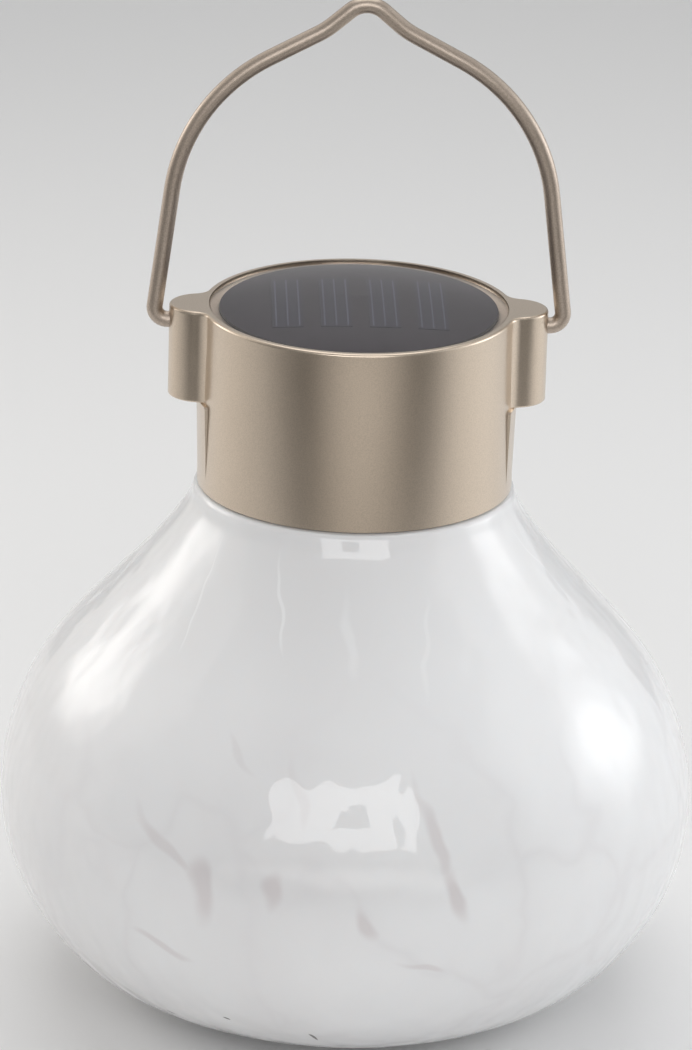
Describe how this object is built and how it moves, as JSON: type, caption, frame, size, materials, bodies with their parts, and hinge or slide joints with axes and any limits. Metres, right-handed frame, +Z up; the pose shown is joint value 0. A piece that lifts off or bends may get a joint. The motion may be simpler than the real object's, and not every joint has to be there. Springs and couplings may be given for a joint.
{
  "type": "solar jar lantern",
  "caption": "Blown opal glass jar lantern with a twist-off cap that holds a solar panel and lamp, and a peaked wire bail to hang it by.",
  "frame": {"origin": "centre of the globe's base, on the surface it stands on", "axes": "+Z up through the mouth and the bail's peak, X through the two lugs that carry the bail, -Y the front"},
  "size_m": [0.1398, 0.1398, 0.2082],
  "materials": {
    "opal_glass": "glossy hand-blown opal glass, cloudy white patches cased in clear",
    "champagne_shell": "satin metallic champagne paint on moulded plastic",
    "champagne_wire": "satin metallic champagne paint on steel wire",
    "collar_plastic": "moulded natural white",
    "gasket_silicone": "soft translucent silicone",
    "foam_tape": "closed-cell foam",
    "panel_board": "black solder mask",
    "silicon_cell": "dark blue anti-reflective silicon",
    "tinned_ribbon": "tinned copper",
    "clear_resin": "clear glossy cast resin",
    "tray_plastic": "moulded black",
    "screw_steel": "zinc plated",
    "battery_sleeve": "plain printed-free sleeve over a steel can",
    "contact_nickel": "nickel plated spring steel",
    "board_laminate": "green solder mask",
    "chip_epoxy": "moulded black epoxy with tinned legs",
    "ferrite": "matt ferrite",
    "capacitor_can": "plain can",
    "resistor_ceramic": "thick-film chip",
    "led_epoxy": "clear epoxy over a warm white phosphor",
    "frosted_lens": "frosted polycarbonate",
    "switch_metal": "tinned steel case",
    "knob_plastic": "moulded white",
    "lead_insulation": "silicone insulated wire"
  },
  "bodies": {
    "jar": {"glass_globe": "opal_glass", "neck_collar": "collar_plastic", "rim_gasket": "gasket_silicone"},
    "cap": {"cap_shell": "champagne_shell", "panel_tape": "foam_tape", "panel_backing": "panel_board", "solar_cells": "silicon_cell", "cell_ribbons": "tinned_ribbon", "panel_resin": "clear_resin", "module_tray": "tray_plastic", "tray_screws": "screw_steel", "battery_door": "tray_plastic", "battery_door_screw": "screw_steel", "battery_cell": "battery_sleeve", "contact_positive": "contact_nickel", "contact_spring": "contact_nickel", "circuit_board": "board_laminate", "board_screws": "screw_steel", "controller_chip": "chip_epoxy", "boost_inductor": "ferrite", "smoothing_capacitor": "capacitor_can", "chip_resistors": "resistor_ceramic", "led_bulb": "led_epoxy", "led_lens": "frosted_lens", "switch_body": "switch_metal", "panel_leads": "lead_insulation", "battery_leads": "lead_insulation"},
    "bail": {"bail_handle": "champagne_wire"},
    "knob": {"switch_knob": "knob_plastic"}
  },
  "joints": [
    {"name": "cap_twist", "type": "hinge", "parent": "jar", "child": "cap", "pos_m": [0, 0, 0.115], "axis": [0, 0, 1], "range_deg": [0, 60]},
    {"name": "bail_swing", "type": "hinge", "parent": "cap", "child": "bail", "pos_m": [0, 0, 0.142], "axis": [1, 0, 0], "range_deg": [-137.5, 137.5]},
    {"name": "power_switch", "type": "slide", "parent": "cap", "child": "knob", "axis": [1, 0, 0], "range_m": [0, 0.002]}
  ]
}
